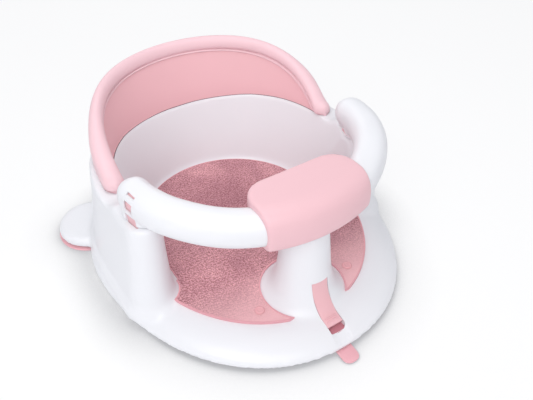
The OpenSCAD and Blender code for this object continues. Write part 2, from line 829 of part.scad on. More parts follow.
module suction_cup_front() {
    tab_t = 2;
    y_tip = seat_y - tab_reach;
    color(pink)
        union() {
            translate([0, cup_y, 0]) cup(cup_front_r, floor_z - 5);
            difference() {
                union() {
                    translate([0, y_tip + tab_half, 0.4]) cylinder(r = tab_half, h = tab_t);
                    translate([-tab_half, y_tip + tab_half, 0.4])
                        cube([2 * tab_half, cup_y - cup_front_r + 6 - y_tip - tab_half, tab_t]);
                }
                translate([0, cup_y, -1]) cylinder(r = cup_front_r - 2.4, h = 9);
            }
        }
}

body_shell();
seat_mat();
mat_snap(-1);  // mat_snap_left
mat_snap(1);  // mat_snap_right
backrest();
backrest_panel();
backrest_screws();
guard_bar();
bar_pad();
latch(-1);  // latch_left
latch(1);  // latch_right
front_lever();
lever_pin();
suction_cup_rear(-1);  // suction_cup_rear_left
suction_cup_rear(1);  // suction_cup_rear_right
suction_cup_front();
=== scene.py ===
# %% [markdown]
# # A baby bath seat
# The seat is a hollow white moulding with a horseshoe wall, a soft backrest, a guard bar
# that lifts off, a padded front and a woven-looking mat, and it stands on suction cups.
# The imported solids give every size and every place. This lesson dresses them: soft moulded
# forms are modelled from primitives, and each finish is built from shader nodes.

# %% The fixed frame
import math

import bpy
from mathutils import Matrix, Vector


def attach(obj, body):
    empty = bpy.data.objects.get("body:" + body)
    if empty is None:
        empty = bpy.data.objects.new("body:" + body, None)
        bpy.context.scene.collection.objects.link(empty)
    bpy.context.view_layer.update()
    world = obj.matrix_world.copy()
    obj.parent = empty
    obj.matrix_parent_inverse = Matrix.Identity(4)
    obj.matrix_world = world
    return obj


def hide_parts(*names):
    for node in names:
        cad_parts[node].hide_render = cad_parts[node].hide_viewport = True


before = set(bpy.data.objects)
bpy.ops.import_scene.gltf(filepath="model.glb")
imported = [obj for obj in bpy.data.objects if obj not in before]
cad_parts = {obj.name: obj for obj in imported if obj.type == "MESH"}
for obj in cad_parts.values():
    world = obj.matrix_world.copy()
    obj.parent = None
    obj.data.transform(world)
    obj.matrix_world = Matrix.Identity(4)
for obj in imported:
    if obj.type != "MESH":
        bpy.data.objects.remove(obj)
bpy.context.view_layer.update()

# %% [markdown]
# ## Working like a modeller
# All the sizes below are in millimetres, because that is how the moulding is measured, and
# Blender works in metres. So each point goes through one small function. Operators act on
# whatever is selected, so a helper first clears the selection and then picks one object.

# %% Helpers for picking and for millimetres
MM = 0.001


def mm(x, y, z):
    return Vector((x, y, z)) * MM


def clear_selection():
    if bpy.context.mode != "OBJECT":
        bpy.ops.object.mode_set(mode="OBJECT")
    bpy.ops.object.select_all(action="DESELECT")


def pick(*objects):
    clear_selection()
    for obj in objects:
        obj.select_set(True)
    bpy.context.view_layer.objects.active = objects[0]
    return objects[0]


def edit(obj):
    pick(obj)
    bpy.ops.object.mode_set(mode="EDIT")
    bpy.ops.mesh.select_all(action="SELECT")


def triangles(obj):
    return sum(len(p.vertices) - 2 for p in obj.data.polygons)


# %% [markdown]
# ## Drawing a profile and turning it
# The cups, the studs and the pommel are round, so they are turned: a profile is drawn vertex
# by vertex with extrude, and Spin carries it round its axis. The seam and the poles are
# merged afterwards, or the shape would not be closed.

# %% A line of points, and a lathe
TOUCHING = 0.01 * MM


def draw_line(name, points, filled=False):
    """Points joined one by one, and left selected in edit mode."""
    clear_selection()
    bpy.ops.mesh.primitive_plane_add(size=MM)
    obj = bpy.context.object
    obj.name = obj.data.name = name
    edit(obj)
    bpy.ops.mesh.merge(type="CENTER")
    bpy.ops.transform.translate(value=points[0])
    for a, b in zip(points, points[1:]):
        bpy.ops.mesh.extrude_vertices_move(TRANSFORM_OT_translate={"value": b - a})
    bpy.ops.mesh.select_all(action="SELECT")
    if filled:
        bpy.ops.mesh.edge_face_add()
    return obj


def close_up(obj):
    """Merges doubles and points the faces outwards."""
    edit(obj)
    bpy.ops.mesh.remove_doubles(threshold=TOUCHING)
    bpy.ops.mesh.normals_make_consistent(inside=False)
    bpy.ops.object.mode_set(mode="OBJECT")
    return obj


def lathe(name, profile, axis=(0, 0), steps=96):
    """Turns a profile of (radius, height) once round an upright axis."""
    x, y = axis
    obj = draw_line(name, [mm(x + r, y, z) for r, z in profile])
    bpy.ops.mesh.spin(steps=steps, angle=2 * math.pi, center=mm(x, y, 0), axis=(0, 0, 1))
    return close_up(obj)


def spread(start, end, steps):
    """Even steps from one value to another, both ends included."""
    return [start + (end - start) * i / steps for i in range(steps + 1)]


def arc(r, z, radius, start, end, steps):
    """Points on part of a circle in a profile, between two angles in degrees."""
    angles = [math.radians(a) for a in spread(start, end, steps)]
    return [(r + radius * math.cos(a), z + radius * math.sin(a)) for a in angles]


# %% [markdown]
# ## Sweeping a section that changes
# The wall, the backrest and the guard bar all run round the child, but their sections
# change on the way. Spin makes the right skin of rings for that: a circle is spun through
# half a turn, which gives rings and sides and two closed ends, and then every vertex is
# put where a function of its ring and side says.

# %% A swept skin
HOOP_R = 3


def sweep(name, sides, rings, place):
    """A closed skin of rings: place(ring, side) says where each vertex goes."""
    clear_selection()
    bpy.ops.mesh.primitive_circle_add(
        vertices=sides, radius=1, fill_type="NGON", location=(HOOP_R, 0, 0),
        rotation=(math.pi / 2, 0, 0))
    obj = bpy.context.object
    obj.name = obj.data.name = name
    bpy.ops.object.transform_apply(location=True, rotation=True, scale=True)
    edit(obj)
    bpy.ops.mesh.spin(steps=rings, angle=math.pi, center=(0, 0, 0), axis=(0, 0, 1))
    bpy.ops.object.mode_set(mode="OBJECT")
    for v in obj.data.vertices:
        x, y, z = v.co
        ring = round(abs(math.atan2(y, x)) / math.pi * rings)
        around = math.atan2(z, math.hypot(x, y) - HOOP_R) / (2 * math.pi)
        v.co = place(ring, round(around * sides) % sides)
    return close_up(obj)


# %% [markdown]
# ## Joining, cutting and softening
# A moulding has no sharp inner corners, because a mould can't make them. The forms are
# joined, and a voxel remesh turns them into one skin, which a Smooth modifier then relaxes
# so that every corner becomes a fillet. Slots and pockets are cut after that, so they keep
# the crisp edges that a slide in a mould leaves.

# %% Modifiers, applied at once
def applied(obj, kind, **settings):
    """Adds one modifier with its settings and applies it."""
    m = obj.modifiers.new(kind.lower(), kind)
    for key, value in settings.items():
        setattr(m, key, value)
    pick(obj)
    bpy.ops.object.modifier_apply(modifier=m.name)
    return obj


def boolean(obj, tools, operation="DIFFERENCE", solver="MANIFOLD"):
    """Cuts, joins or crosses an object with its tools, one by one, and removes them."""
    for tool in tools:
        applied(obj, "BOOLEAN", operation=operation, object=tool, solver=solver)
        bpy.data.objects.remove(tool)
    return obj


def melt(name, parts, voxel, rounds):
    """Joins parts into one skin of voxels and relaxes it."""
    pick(*parts)
    bpy.ops.object.join()
    obj = bpy.context.object
    obj.name = obj.data.name = name
    applied(obj, "REMESH", mode="VOXEL", voxel_size=voxel * MM)
    applied(obj, "SMOOTH", factor=0.5, iterations=rounds)
    return obj


def block(name, low, high):
    """A box between two corners in millimetres: a cutting tool or a start."""
    clear_selection()
    centre = (mm(*low) + mm(*high)) / 2
    bpy.ops.mesh.primitive_cube_add(size=1, location=centre)
    obj = bpy.context.object
    obj.name = obj.data.name = name
    obj.scale = mm(*high) - mm(*low)
    bpy.ops.object.transform_apply(location=True, rotation=True, scale=True)
    return obj


def prism(name, outline, push):
    """A filled outline of points, pushed out along a vector."""
    obj = draw_line(name, outline, filled=True)
    bpy.ops.mesh.extrude_region_move(TRANSFORM_OT_translate={"value": push})
    return close_up(obj)


def shade(obj, angle=40):
    """Smooth shading that keeps edges over an angle crisp."""
    pick(obj)
    bpy.ops.object.shade_smooth_by_angle(angle=math.radians(angle))
    return obj


# %% [markdown]
# ## The main sizes
# They repeat the sizes of the solids: the seat's upright axis, the wall, the two pillars,
# the pommel, the backrest and the ears over the rear suction cups. Turns are counted round
# the seat's axis: 0 degrees is the right side, 90 is behind the child and 180 is the left.

# %% Sizes of the moulding, in millimetres
SEAT_Y = 28  # the seat's axis
WALL_R = 133  # the wall's middle line
PILLAR_Y = -34
POMMEL_Y = -113
FLOOR_Z = 24  # top of the base, under the mat
LEDGE_Z = 115.5  # where the backrest stands at the sides
WALL_TOP = 122  # where it stands behind the child
SHOULDER_Z = 124  # top of the pillars
SEAT_R = 107  # inside of the seat at its floor
LEAN = 0.2  # how much wider the inside gets with each millimetre of height
BACK_R = 150  # outside of the backrest
EAR = (145, 121)


def seat_radius(z):
    """Inside of the seat at a height."""
    return SEAT_R + (z - FLOOR_Z) * LEAN


def polar(turn, r, z):
    a = math.radians(turn)
    return mm(r * math.cos(a), SEAT_Y + r * math.sin(a), z)


def ramp(x, low, high):
    """A soft step from 0 at low to 1 at high."""
    t = max(0, min(1, (x - low) / (high - low)))
    return t * t * (3 - 2 * t)


def between(x, table):
    """Straight interpolation in a table of (x, y) rows."""
    for (x0, y0), (x1, y1) in zip(table, table[1:]):
        if x <= x1:
            return y0 + (y1 - y0) * max(0, (x - x0) / (x1 - x0))
    return table[-1][1]


# %% [markdown]
# ## The base
# The base is a low dome with an upright rim. A cylinder is the start: its top is extruded
# and scaled in small steps up to a flat middle, and then the front half is pulled out longer
# than the rear one. The front's plan is a little squarer than an ellipse, and no operator
# does that, so each front vertex is moved by a formula.

# %% The dome
BASE_R = 170
BASE_LOW = 4
BASE_BAND = 9  # top of the upright rim
FLAT_R = 139
FRONT_REACH = 216
BACK_REACH = 168
SQUARE = 2.12  # 2 is an ellipse, and more is squarer
DOME_STEPS = 10


def dome(name, low, band, top, flat_r):
    """A dome from its bottom, over its rim, to a flat middle of a given radius."""
    clear_selection()
    bpy.ops.mesh.primitive_cylinder_add(
        vertices=180, radius=BASE_R * MM, depth=(band - low) * MM,
        location=mm(0, SEAT_Y, (band + low) / 2))
    obj = bpy.context.object
    obj.name = obj.data.name = name
    bpy.ops.object.transform_apply(location=True, rotation=True, scale=True)
    edit(obj)
    bpy.ops.mesh.select_all(action="DESELECT")
    bpy.ops.object.mode_set(mode="OBJECT")
    for p in obj.data.polygons:
        p.select = p.normal.z > 0.9
    bpy.ops.object.mode_set(mode="EDIT")
    fall, run = top - band, BASE_R - flat_r
    radius = (run * run + fall * fall) / (2 * fall)
    last_r, last_z = BASE_R, band
    for i in range(1, DOME_STEPS + 1):
        r = BASE_R - run * i / DOME_STEPS
        z = top - radius + math.sqrt(radius ** 2 - (r - flat_r) ** 2)
        bpy.ops.mesh.extrude_region_move(TRANSFORM_OT_translate={"value": mm(0, 0, z - last_z)})
        bpy.ops.transform.resize(value=(r / last_r, r / last_r, 1),
                                 center_override=mm(0, SEAT_Y, z))
        last_r, last_z = r, z
    bpy.ops.object.mode_set(mode="OBJECT")
    for v in obj.data.vertices:
        x, y = v.co.x, v.co.y - SEAT_Y * MM
        if y > 0:
            v.co.y = SEAT_Y * MM + y * BACK_REACH / BASE_R
            continue
        r = math.hypot(x, y) or 1
        c, s = abs(x) / r, abs(y) / r
        k = (c ** SQUARE + s ** SQUARE) ** (-1 / SQUARE)
        v.co.x, v.co.y = x * k, SEAT_Y * MM + y * k * FRONT_REACH / BASE_R
    return obj


base = dome("base", BASE_LOW, BASE_BAND, FLOOR_Z, FLAT_R)
print("base:", triangles(base), "triangles")

# %% [markdown]
# ## The horseshoe wall
# The wall has one section that runs round the back, with a foot that flares into the base.
# Behind the child the foot flares further than at the sides. The wall is swept round the
# back in rings, and two straight pieces and two half-round pillars carry it forwards.

# %% The wall and the pillars
FOOT_Z = 10  # inside the base, so that the forms overlap
CORE = -30  # well inside the cone that opens the seat
# Each row of SIDE is half the wall's thickness and a height, and each row of FLARE is a
# height and what the foot adds there.
SIDE = [(33, 10), (31, 18), (28, 23), (25, 25.5), (23, 29), (21.6, 34), (20.5, 42),
        (19.6, 52), (18.9, 66), (18.4, 82), (18.1, 98), (17.9, 112), (17.8, 118)]
CROWN = arc(11.8, 118, 6, 0, 90, 5)[1:]
FLARE = [(10, 2), (24, 5), (34, 8), (46, 8.4), (75, 4.6), (97, 2.2), (118, 0)]


def flared(w, z, share):
    """Half the wall's thickness, with a share of the flare that its foot has."""
    return w + share * between(z, FLARE)


def wall_section(share):
    """The outer side and a plain inner side, up to above the wall's cut top."""
    top = [(17.9, z) for z in spread(WALL_TOP, WALL_TOP + 12, 4)]
    skin = [(flared(w, z, share), z) for w, z in SIDE + top]
    return [(CORE, FOOT_Z)] + skin + [(CORE, WALL_TOP + 12)]


WALL_RINGS = 72
PILLAR_RINGS = 24
SIDE_SHARE = 0.7  # share of the flare at the sides
OVERLAP = 0.5  # of the straight pieces with the back
PILLAR_LINE = [(0, FOOT_Z)] + SIDE + CROWN + [(0, SHOULDER_Z)]


def wall_place(ring, side):
    turn = 180 * ring / WALL_RINGS
    share = SIDE_SHARE + (1 - SIDE_SHARE) * ramp(turn, 0, 40) * ramp(180 - turn, 0, 40)
    w, z = wall_section(share)[side]
    return polar(turn, WALL_R + w, z)


back_wall = sweep("back_wall", len(wall_section(1)), WALL_RINGS, wall_place)
forms = [base, back_wall]
for side in (-1, 1):
    outer = [(flared(w, z, SIDE_SHARE), z) for w, z in SIDE + CROWN]
    outline = outer + [(0, SHOULDER_Z)] + [(-w, z) for w, z in reversed(SIDE + CROWN)]
    start = [mm(side * (WALL_R + w), SEAT_Y + OVERLAP, z) for w, z in outline]
    forms.append(prism("straight", start, mm(0, PILLAR_Y - SEAT_Y - OVERLAP, 0)))

    def pillar_place(ring, index, side=side):
        """Rings run from the pillar's outer side round its front to its inner side."""
        a = math.pi * ring / PILLAR_RINGS
        w, z = PILLAR_LINE[index]
        w = flared(w, z, SIDE_SHARE * ramp(180 - math.degrees(a), 30, 180)) if w else 0
        return mm(side * (WALL_R + w * math.cos(a)), PILLAR_Y - w * math.sin(a), z)

    forms.append(sweep("pillar", len(PILLAR_LINE), PILLAR_RINGS, pillar_place))
print("forms:", len(forms))

# %% [markdown]
# A cone with a small fillet at its foot opens the inside of the seat. A wedge leaves a low
# ledge on each side for the backrest's tongues, and a ring cuts the slope on which the
# backrest stands behind the child.

# %% The cuts in the wall
PAST = 220  # past the object's sides
ABOVE = 200  # above its top
SEAT_STEPS = 144
TOP_RINGS = 96
EDGE = [(0, 108.4), (20, 109.8), (30, 111.2), (43, 113.6), (55, 114.6), (62, 115), (120, 115)]


def seat_cutter():
    fillet = [(SEAT_R - 4.5, FLOOR_Z), (SEAT_R - 2, FLOOR_Z + 1), (SEAT_R, FLOOR_Z + 3.2)]
    cone = [(seat_radius(z), z) for z in (FLOOR_Z + 7, ABOVE)]
    return lathe("seat_cutter", [(0, FLOOR_Z)] + fillet + cone + [(0, ABOVE)], (0, SEAT_Y),
                 SEAT_STEPS)


def ledge_cutter():
    side_view = [(-5, 125), (-1, 123.6), (6, 120.5), (13, 117), (19, LEDGE_Z), (40, LEDGE_Z),
                 (80, WALL_TOP), (PAST, WALL_TOP), (PAST, ABOVE), (-5, ABOVE)]
    return prism("ledge_cutter", [mm(-PAST, y, z) for y, z in side_view], mm(2 * PAST, 0, 0))


def edge_line(turn):
    """Height of the wall's inner edge: lowest behind the child."""
    return between(abs(turn - 90), EDGE)


def slope_line(r, turn):
    """Height of the wall's top, from its inner edge out to the backrest's outside."""
    low = edge_line(turn)
    return low + (r - seat_radius(low)) * (WALL_TOP - low) / (BACK_R - seat_radius(low))


def top_cutter():
    def place(ring, side):
        turn = -4 + 188 * ring / TOP_RINGS
        r, z = [(100, 0), (190, 0), (190, ABOVE), (100, ABOVE)][side]
        return polar(turn, r, z or slope_line(r, turn))
    return sweep("top_cutter", 4, TOP_RINGS, place)


for form in forms[1:]:
    boolean(form, [seat_cutter(), ledge_cutter(), top_cutter()], solver="EXACT")
print("wall pieces:", [triangles(f) for f in forms[1:]])

# %% [markdown]
# The pommel between the leg openings and the ears over the rear cups are turned. Then all
# forms melt into one skin. The voxels are as fine as the limit of triangles allows.

# %% The pommel and the ears
POMMEL = [(0, FOOT_Z), (47, FOOT_Z), (46, 20), (43.5, 24.6), (39, 28.5), (35, 33.5), (32, 40),
          (29.8, 48), (28, 58), (26.6, 70), (25.4, 84), (24, 100), (22.2, 114),
          (20, 120), (0, 121)]
pommel = lathe("pommel", POMMEL, (0, POMMEL_Y), 64)
EAR_LINE = [(0, BASE_LOW), (37, BASE_LOW)] + arc(31, 10, 6, 0, 90, 5) + [(0, 16)]
ears = [lathe("ear", EAR_LINE, (side * EAR[0], EAR[1]), 64) for side in (-1, 1)]

# %% One soft skin
shell = melt("shell", forms + [pommel] + ears, voxel=2.56, rounds=6)
print("shell:", triangles(shell), "triangles")

# %% [markdown]
# ## Slots and pockets
# The lever lies in a slot in the pommel's foot, with a channel that runs to the rim. Each
# shoulder has a pocket for the bar's plug and one for the latch's tail.

# %% The lever's slot
NECK_R = 27  # the pommel's radius above its foot
SLOT_W = 19.4
SLOT_END = 62.5
CORNER = 5.5


def side_prism(name, points, width):
    """An outline seen from the side: distance in front of the pommel's axis, height."""
    return prism(name, [mm(-width / 2, POMMEL_Y - d, z) for d, z in points], mm(width, 0, 0))


def lever_face(d):
    """The line of the lever's face from its top to its tip, sunk by about d."""
    return [(NECK_R - d, 56), (NECK_R + 1 - d, 47), (NECK_R + 4.5 - d, 38 - d * 0.3),
            (NECK_R + 11 - d * 0.8, 29.5 - d * 0.7), (NECK_R + 18 - d * 0.6, 24 - d * 0.8),
            (NECK_R + 28.5 - d * 0.3, 20.2 - d)]


slot_side = [(67, 57), (13.5, 57), (13.5, 43)] + lever_face(6.6)[2:5]
slot_side += [(44, 9), (57, 8), (61.5, 11), (SLOT_END, 17.6), (SLOT_END, 34), (67, 34)]
slot = side_prism("slot", slot_side, SLOT_W)

# Seen from above, the slot's right front corner is round and its left one is tight.
half = SLOT_W / 2
plan = [(-SLOT_W, 0), (half, 0)]
plan += [(half - CORNER + CORNER * math.cos(a), CORNER - SLOT_END - CORNER * math.sin(a))
         for a in spread(0, math.pi / 2, 8)]
plan += [(1 - half, -SLOT_END), (-half, 1 - SLOT_END), (-half, -5), (-SLOT_W, -5)]
plan_tool = prism("plan", [mm(x, POMMEL_Y + y, 0) for x, y in plan], mm(0, 0, 80))
boolean(slot, [plan_tool], "INTERSECT", solver="EXACT")
boolean(shell, [slot])

# The channel is the track of an oval bar that slants down from the slot to the rim.
channel = [mm(12 * math.cos(a), POMMEL_Y - 53, 25.9 + 4.6 * math.sin(a))
           for a in spread(0, 2 * math.pi, 48)[:-1]]
boolean(shell, [prism("channel", channel, mm(0, -60, -37))])
print("shell with its slot:", triangles(shell))

# %% The shoulders' pockets
LATCH_TURN = math.asin(18.6 / 100)  # the latches face a little backwards
LATCH_AT = (30 + 100 * math.cos(LATCH_TURN), -32)
POCKET_HALF = 7.4
POCKETS = [("plug_pocket", (-8.4, -POCKET_HALF, 111), (1.4, POCKET_HALF, 136)),
           ("tail_pocket", (6, -POCKET_HALF, 108), (14.8, POCKET_HALF, 136))]


def at_latch(obj, side):
    """Carries an object from the middle of the scene to a latch's place."""
    edit(obj)
    bpy.ops.transform.rotate(value=LATCH_TURN, orient_axis="Z", center_override=(0, 0, 0))
    bpy.ops.transform.translate(value=mm(LATCH_AT[0], LATCH_AT[1], 0))
    if side < 0:
        bpy.ops.transform.mirror(constraint_axis=(True, False, False),
                                 center_override=(0, 0, 0))
    bpy.ops.object.mode_set(mode="OBJECT")
    return close_up(obj)


for side in (-1, 1):
    boolean(shell, [at_latch(block(*pocket), side) for pocket in POCKETS])
print("shell with its pockets:", triangles(shell))

# %% [markdown]
# ## Hollowing
# The real moulding is a thin skin that is open below. So the flat bottom is deleted and
# Solidify gives the skin its wall on the inside, with the slot and the pockets as tubs.

# %% A hollow shell
SKIN = 2.4
BOTTOM_Z = BASE_LOW + 0.6

clear_selection()
for p in shell.data.polygons:
    p.select = p.normal.z < -0.95 and p.center.z < BOTTOM_Z * MM
print("bottom faces:", sum(p.select for p in shell.data.polygons))
bpy.context.view_layer.objects.active = shell
bpy.ops.object.mode_set(mode="EDIT")
bpy.ops.mesh.delete(type="FACE")
bpy.ops.object.mode_set(mode="OBJECT")
applied(shell, "SOLIDIFY", thickness=SKIN * MM, offset=-1)
shade(shell, 35)
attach(shell, "seat")
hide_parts("body_shell")
print("hollow shell:", triangles(shell))

# %% [markdown]
# ## The backrest
# The backrest is a soft-touch moulding: a rolled rim that climbs from a tongue at each
# side to its highest point behind the child, and an outer skin below it. It is swept
# round the seat, and the rim's height follows a curve that climbs early and then levels.
# Its two ends close in round noses.

# %% The curves of the backrest
BACK_END = -1.2  # turn at which the right nose ends
NOSE = 5  # degrees over which a nose closes in
FOOT_GAP = 0.4  # between the foot's inner edge and the slope


def sideways(turn):
    """0 behind the child and 1 at the sides."""
    return 1 - math.sin(math.radians(turn)) ** 2


def seam(turn):
    """Height of the rim's middle line."""
    return 111 + 63 * (1 - (1 - max(0, math.sin(math.radians(turn)))) ** 2.3)


def wall_line(turn):
    """Height of the backrest's outer foot, just above the ledge and the wall."""
    y = SEAT_Y + BACK_R * math.sin(math.radians(turn))
    return LEDGE_Z + 0.6 + (WALL_TOP - LEDGE_Z) * max(0, min(1, (y - 40) / 40))


def outer_radius(turn, z):
    """The outer face leans in above the wall at the sides, and towards the two tips."""
    tip = 7.5 * (1 - ramp(min(turn, 180 - turn), 0, 40)) * (1 - ramp(z, WALL_TOP, 150))
    return BACK_R - tip - 0.25 * (1 - math.sin(math.radians(turn))) * max(0, z - 121)


def nose(turn):
    """Round end: 0 at a tip and 1 from the nose's width on."""
    u = max(0, min(1, (min(turn, 180 - turn) - BACK_END) / NOSE))
    return math.sqrt(1 - (1 - u) ** 2)


def back_section(turn):
    """Rolled rim, outer face and foot: the foot follows the wall's slope and ledge."""
    low_out = wall_line(turn)
    r_in = seat_radius(110) + 2.9
    top = max(seam(turn), slope_line(r_in, turn) + 4)
    r0 = seat_radius(top) - 1.8 - 3.4 * sideways(turn)
    r1 = outer_radius(turn, top)
    r2 = outer_radius(turn, low_out)
    middle, half = (r0 + r1) / 2, (r1 - r0) / 2
    half_way = (top + low_out) / 2
    height = 11 * (0.3 + 0.7 * nose(turn))
    pinch = 0.06 + 0.94 * nose(turn)
    groove = [(seat_radius(top - 4.5) + 3.1, top - 4.5),
              (seat_radius(top - 3) + 2.7, top - 2.9)]
    roll = [(middle + half * math.cos(math.radians(a)),
             top + height * math.sin(math.radians(a)) * (1 if a < 180 else 0.5))
            for a in range(216, -1, -12)]
    outside = [(outer_radius(turn, half_way), half_way), (r2, low_out + 3.6),
               (r2 - 0.5, low_out + 1.7), (r2 - 1.8, low_out + 0.5), (r2 - 3.6, low_out)]
    section = [(middle + (r - middle) * pinch, z) for r, z in groove + roll + outside]
    foot = [middle + (r - middle) * pinch for r in (max(r_in + 1, 138), r_in)]
    return section + [(r, min(low_out, slope_line(r, turn) + FOOT_GAP)) for r in foot]


# %% The backrest's skin
NOSE_RINGS = 7
RIM_RINGS = 84


def back_turns():
    """Turns of the rings, close together in the two noses."""
    ends = [BACK_END + NOSE * (1 - math.cos(a))
            for a in spread(0, math.pi / 2, NOSE_RINGS)[:-1]]
    first = BACK_END + NOSE
    middle = [first + (180 - 2 * first) * i / RIM_RINGS for i in range(RIM_RINGS + 1)]
    return ends + middle + [180 - t for t in reversed(ends)]


back_points = [[polar(t, r, z) for r, z in back_section(t)] for t in back_turns()]
backrest = sweep("backrest_rim", len(back_points[0]), len(back_points) - 1,
                 lambda ring, side: back_points[ring][side])
shade(backrest, 50)
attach(backrest, "seat")
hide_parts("backrest")
print("backrest:", triangles(backrest), "triangles")

# %% [markdown]
# The inner panel is a separate, deeper pink sheet. Along the rim it ends in a thin bead,
# and a groove beside the bead keeps it apart from the rolled rim. Its foot stands back from
# the wall's edge on a toe painted dark: painted shade for the gap, which shows as the parting
# line. The panel, its bead and its toe are told apart by face, so that each can wear its own
# finish.

# %% The inner panel
PANEL_RINGS = 96
PANEL_TURNS = spread(4, 176, PANEL_RINGS)
BEAD, PAINTED_SHADE_SLOT = 1, 2


def bead_line(turn):
    """Height of the bead: it keeps below the rim, more so at the sides."""
    return max(seam(turn) - 4.7 - 3.6 * sideways(turn), edge_line(turn) + 3)


def panel_gap(turn):
    """How far the panel's foot stands back from the wall's edge: more on the left."""
    return 0.25 + 1.1 * ramp(turn, 75, 130)


def panel_section(turn):
    """Toe, sheet, bead of 1 mm and hidden back."""
    low = edge_line(turn) + 0.1
    top = max(seam(turn) - 1.6, low + 5)
    bead_z = bead_line(turn)
    edge, gap = seat_radius(low) + 0.3, panel_gap(turn)
    toe = [(edge, low), (edge + 0.05, low + 0.3), (edge + gap, low + 0.4)]
    sheet = [(seat_radius(z) + gap * share, z)
             for z, share in ((low + 1.2, 1), (low + (bead_z - low) / 3, 0.3),
                              (low + (bead_z - low) / 2, 0))]
    bead_r = seat_radius(bead_z) - 0.4 - 1.6 * sideways(turn)
    bead = [(bead_r + 0.5 - math.sin(math.radians(a)), bead_z - math.cos(math.radians(a)))
            for a in range(-20, 191, 30)]
    back_r = seat_radius(low) + 2.6
    back = [(seat_radius(top) + 2.2, top - 0.2), (back_r, slope_line(back_r, turn) + FOOT_GAP)]
    return toe + sheet + bead + back


panel_points = [[polar(t, r, z) for r, z in panel_section(t)] for t in PANEL_TURNS]
panel = sweep("backrest_inner_panel", len(panel_points[0]), PANEL_RINGS,
              lambda ring, side: panel_points[ring][side])
for p in panel.data.polygons:
    x, y, z = p.center / MM
    turn = math.degrees(math.atan2(y - SEAT_Y, x))
    if z > bead_line(turn) - 1.05:
        p.material_index = BEAD
    # The toe's faces take the painted shade of the gap.
    elif z < edge_line(turn) + 0.55:
        p.material_index = PAINTED_SHADE_SLOT
shade(panel, 40)
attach(panel, "seat")
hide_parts("backrest_panel")
print("panel:", triangles(panel), "triangles")

# %% [markdown]
# ## The guard bar
# The bar is a fat tube with slightly flat sides, which runs in a half ellipse from
# shoulder to shoulder. Each end is round on top and goes down into a foot that stands on
# the shoulder. The tube is swept, and the feet are melted into it.

# %% The tube and its feet
BAR_HALF = 130
BAR_REACH = 113
BAR_Y = -13.4
BAR_Z = 143
BAR_R = 17.4
FLATTER = 2 / 2.3  # power that turns the round section a little square
TUBE_SIDES = 40
TUBE_ARC = 88  # rings along the bend
TUBE_CAP = 9  # rings in each round end
TUBE_END = 0.039  # angle at which the bend ends, in radians
CAP_TURN = math.pi / 2 * 0.999  # the last ring stays a little open
FOOT_R = 16
FOOT_LIFT = 0.4  # the foot's clearance over the shoulder
LIP = 0.6  # how far the foot may pass the wall's inner side


def tube_point(phi, side, radius, cap=0):
    """A point on the tube: phi runs from the right end to the left one."""
    a = 2 * math.pi * side / TUBE_SIDES
    radius -= 1 - ramp(math.sin(phi), 0, 0.3)
    sag = 4 * ramp(math.sin(phi), 0.5, 0.95)
    u = math.copysign(abs(math.cos(a)) ** FLATTER, math.cos(a)) * math.cos(cap) * radius
    v = math.copysign(abs(math.sin(a)) ** FLATTER, math.sin(a)) * math.cos(cap) * radius
    x, y = BAR_HALF * math.cos(phi), -BAR_REACH * math.sin(phi)
    out = Vector((math.cos(phi) / BAR_HALF, -math.sin(phi) / BAR_REACH)).normalized()
    back = math.sin(cap) * radius
    return mm(x + out.x * u, BAR_Y + y + out.y * u + back, BAR_Z - sag + v)


def tube(name, radius):
    """The bent tube with a round cap at each end."""
    def place(ring, side):
        if ring < TUBE_CAP:
            return tube_point(TUBE_END, side, radius, CAP_TURN * (1 - ring / TUBE_CAP))
        if ring > TUBE_CAP + TUBE_ARC:
            past = ring - TUBE_CAP - TUBE_ARC
            return tube_point(math.pi - TUBE_END, side, radius, CAP_TURN * past / TUBE_CAP)
        share = (ring - TUBE_CAP) / TUBE_ARC
        return tube_point(TUBE_END + (math.pi - 2 * TUBE_END) * share, side, radius)
    return sweep(name, TUBE_SIDES, TUBE_ARC + 2 * TUBE_CAP, place)


def foot(side):
    """A foot with two round ends, cut back along the wall's inner side."""
    outline = [mm(FOOT_R * math.cos(a), y + FOOT_R * math.sin(a), SHOULDER_Z + FOOT_LIFT)
               for y, first in ((10, 0), (-2, math.pi))
               for a in spread(first, first + math.pi, 16)]
    obj = at_latch(prism("foot", outline, mm(0, 0, BAR_Z - SHOULDER_Z - FOOT_LIFT)), side)
    inside = [(0, 100)] + [(seat_radius(z) - LIP, z) for z in (100, 160)] + [(0, 160)]
    return boolean(obj, [lathe("inside", inside, (0, SEAT_Y), SEAT_STEPS)], solver="EXACT")


bar = melt("bar_tube", [tube("tube", BAR_R)] + [foot(side) for side in (-1, 1)],
           voxel=1.7, rounds=6)
print("bar:", triangles(bar), "triangles")

# %% [markdown]
# A latch sits in each foot. Its room is cut from below, and three openings show it from
# outside: a window, a thin slit over it, and the tab's notch at the bottom. On the seat's
# side each foot has one more slit.

# %% The latch rooms and windows
LATCH_W = 14
ROOM_SIDE = 0.4  # the room's clearance at each side of its latch
ROOM = [(14.8, 122), (14.8, 147.2), (12.4, 153.1), (8, 156.7), (4.8, 154), (4.8, 150),
        (7.5, 122)]
OPENINGS = [((7, -6, 140.5), (32, 6, 151)), ((7, -6, 154.6), (32, 6, 157.4)),
            ((13.4, -7.4, 122), (32, 7.4, 135.5))]

for side in (-1, 1):
    room = prism("room", [mm(x, LATCH_W / 2 + ROOM_SIDE, z) for x, z in ROOM],
                 mm(0, -LATCH_W - 2 * ROOM_SIDE, 0))
    boolean(bar, [at_latch(room, side)])
    boolean(bar, [at_latch(block("opening", low, high), side) for low, high in OPENINGS])
    boolean(bar, [at_latch(block("inner_slit", (-30, -7, 127), (-12.5, 7, 129.4)), side)])
shade(bar, 38)
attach(bar, "bar")
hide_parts("guard_bar")
print("bar with its rooms:", triangles(bar), "triangles")

